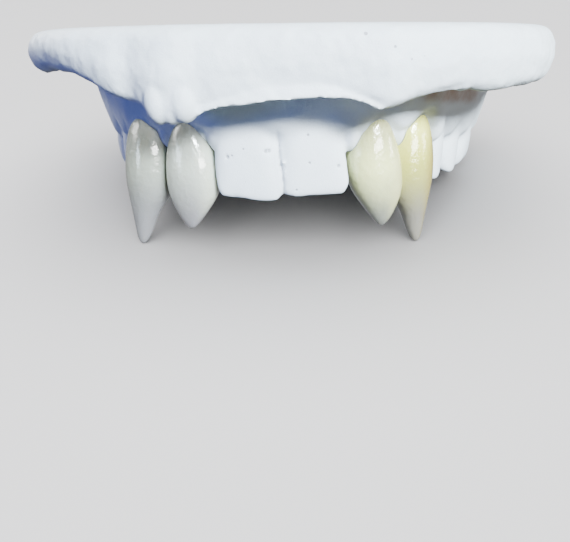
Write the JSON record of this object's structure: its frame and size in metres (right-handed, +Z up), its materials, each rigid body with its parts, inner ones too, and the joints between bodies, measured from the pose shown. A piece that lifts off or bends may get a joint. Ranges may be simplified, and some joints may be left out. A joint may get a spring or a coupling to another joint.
{
  "type": "vampire fang caps on a plaster dental cast",
  "caption": "Plaster upper dental cast, teeth down, with glossy ivory vampire fang caps seated over its side incisors and canines; it stands on the long fang tips and its molars.",
  "frame": {"origin": "On the surface that it stands on, under the middle of its bounding box.", "axes": "+X runs across the jaw to the right fangs as seen from the front, +Y runs back from the front teeth into the mouth, and +Z is up, towards the flat top of the cast's base."},
  "size_m": [0.0744, 0.059, 0.0308],
  "materials": {
    "dental_stone": "matt white plaster with fine pits",
    "fang_acrylic": "glossy translucent ivory"
  },
  "bodies": {
    "root": {"stone_cast": "dental_stone", "left_lateral_fang": "fang_acrylic", "left_canine_fang": "fang_acrylic", "right_lateral_fang": "fang_acrylic", "right_canine_fang": "fang_acrylic"}
  },
  "joints": []
}
